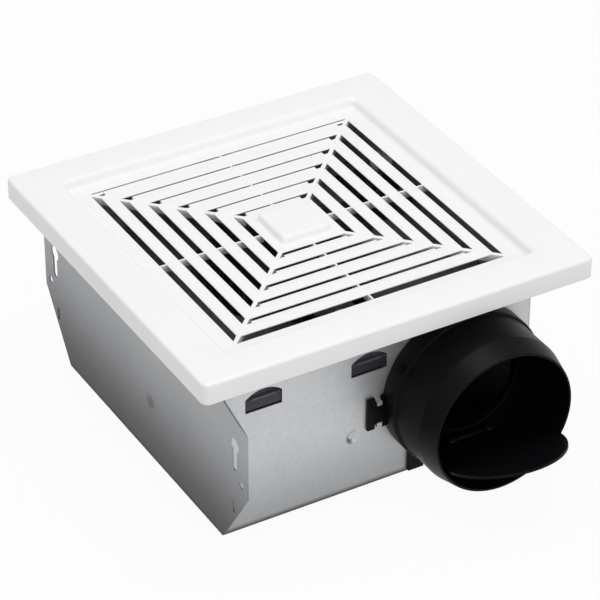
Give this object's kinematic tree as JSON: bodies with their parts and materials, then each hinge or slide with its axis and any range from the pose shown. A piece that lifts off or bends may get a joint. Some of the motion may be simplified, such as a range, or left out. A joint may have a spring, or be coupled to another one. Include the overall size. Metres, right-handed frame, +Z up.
{
  "type": "bathroom exhaust fan",
  "caption": "Ceiling exhaust fan: folded steel housing with ears, centrifugal blower, round duct collar with a damper flap, and a square slotted cover held by springs.",
  "frame": {"origin": "the middle of the outside of the housing's back", "axes": "+Z up through the cover, as the fan lies on its back; +X out of the duct collar; -Y is the face that is fastened to a joist"},
  "size_m": [0.2947, 0.241, 0.1227],
  "materials": {
    "galvanised_steel": "galvanised sheet with a faint spangle",
    "inner_steel": "galvanised sheet",
    "black_plastic": "moulded, satin",
    "white_plastic": "moulded, satin",
    "wheel_aluminium": "pressed sheet",
    "spring_steel": "drawn wire and strip",
    "shaft_steel": "ground",
    "lamination_steel": "stacked laminations",
    "copper": "enamelled wire and copper bar",
    "bobbin_plastic": "moulded",
    "cast_alloy": "die-cast",
    "bearing_bronze": "sintered",
    "zinc_plated_steel": "zinc plated",
    "grommet_rubber": "moulded",
    "receptacle_plastic": "moulded"
  },
  "bodies": {
    "housing": {"housing_body": "galvanised_steel", "mounting_panel": "galvanised_steel", "end_panel": "galvanised_steel", "scroll_wall": "inner_steel", "motor_plate": "inner_steel", "motor_strap": "inner_steel", "wiring_box": "inner_steel", "wiring_cover": "inner_steel", "left_spring_bracket": "inner_steel", "right_spring_bracket": "inner_steel", "duct_connector": "black_plastic", "stator_core": "lamination_steel", "shading_bars": "copper", "motor_coil": "copper", "coil_bobbin": "bobbin_plastic", "lower_bearing_bracket": "cast_alloy", "upper_bearing_bracket": "cast_alloy", "lower_bearing": "bearing_bronze", "upper_bearing": "bearing_bronze", "plate_screw": "zinc_plated_steel", "motor_screws": "zinc_plated_steel", "motor_nuts": "zinc_plated_steel", "strap_screws": "zinc_plated_steel", "cover_screw": "zinc_plated_steel", "ground_screw": "zinc_plated_steel", "strap_grommets": "grommet_rubber", "receptacle": "receptacle_plastic"},
    "blower": {"motor_shaft": "shaft_steel", "rotor_core": "lamination_steel", "wheel_disc": "wheel_aluminium", "wheel_blades": "wheel_aluminium", "wheel_ring": "wheel_aluminium", "wheel_clip": "spring_steel"},
    "damper": {"damper_flap": "black_plastic"},
    "cover": {"grille": "white_plastic", "left_grille_spring": "spring_steel", "right_grille_spring": "spring_steel"}
  },
  "joints": [
    {"name": "blower_spin", "type": "hinge", "parent": "housing", "child": "blower", "pos_m": [-0.008, 0, 0.04], "axis": [0, 0, 1], "continuous": true},
    {"name": "damper_swing", "type": "hinge", "parent": "housing", "child": "damper", "pos_m": [0.1065, 0.05, 0.0215], "axis": [0, 1, 0], "range_deg": [-72, 0]},
    {"name": "cover_pull", "type": "slide", "parent": "housing", "child": "cover", "axis": [0, 0, 1], "range_m": [0, 0.05]}
  ]
}
